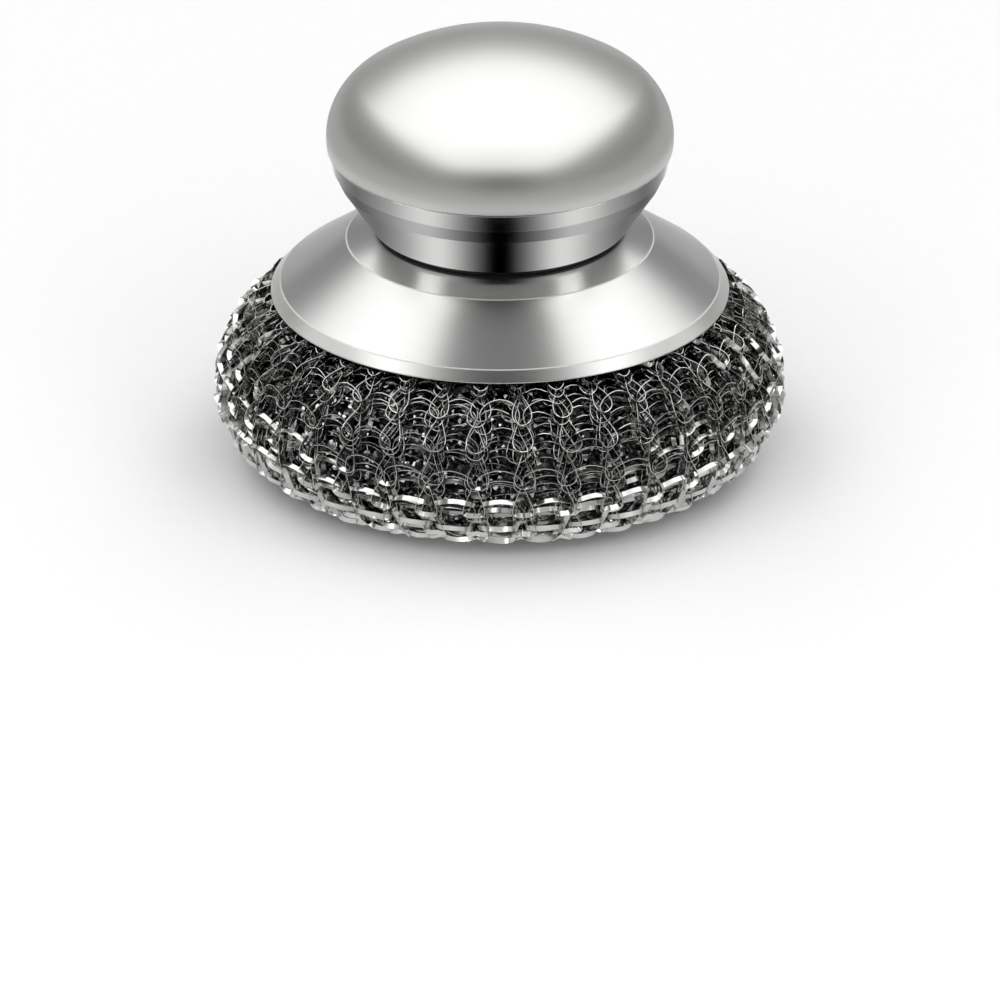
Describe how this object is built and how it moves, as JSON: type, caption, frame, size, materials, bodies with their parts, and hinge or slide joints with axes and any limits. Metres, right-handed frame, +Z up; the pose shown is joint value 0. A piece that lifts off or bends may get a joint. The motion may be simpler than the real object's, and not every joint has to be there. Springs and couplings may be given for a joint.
{
  "type": "pot scrubber",
  "caption": "Pot scrubber with a polished steel knob and flared skirt on a stud, and a replaceable bun-shaped pad of knitted steel ribbon held by a washer and thumb nut.",
  "frame": {"origin": "on the floor under the middle of the pad, where the stud's axis meets the plane of the sole", "axes": "+Z runs up the stud from the sole to the top of the knob; X and Y lie in the sole and are alike"},
  "size_m": [0.0898, 0.09, 0.0697],
  "materials": {
    "polished_steel": "polished",
    "machined_steel": "satin",
    "black_rubber": "matte",
    "steel_knit": "satin"
  },
  "bodies": {
    "pad": {"scouring_pad": "steel_knit", "pad_eyelet": "machined_steel"},
    "handle": {"knob_dome": "polished_steel", "knob_cup": "polished_steel", "knob_bush": "machined_steel", "neck_gasket": "black_rubber", "skirt": "polished_steel", "centre_stud": "machined_steel", "lock_washer": "machined_steel", "jam_nut": "machined_steel"},
    "washer": {"retaining_washer": "machined_steel"},
    "nut": {"thumb_nut": "machined_steel"}
  },
  "joints": [
    {"name": "handle_lift", "type": "slide", "parent": "pad", "child": "handle", "axis": [0, 0, 1], "range_m": [0, 0.04]},
    {"name": "washer_drop", "type": "slide", "parent": "pad", "child": "washer", "axis": [0, 0, -1], "range_m": [0, 0.006]},
    {"name": "nut_unscrew", "type": "hinge", "parent": "washer", "child": "nut", "pos_m": [0, 0, 0.0055], "axis": [0, 0, -1], "range_deg": [0, 2160]}
  ],
  "couplings": [
    {"joint": "washer_drop", "follows": "nut_unscrew", "m_per_rad": 0.00015915}
  ]
}
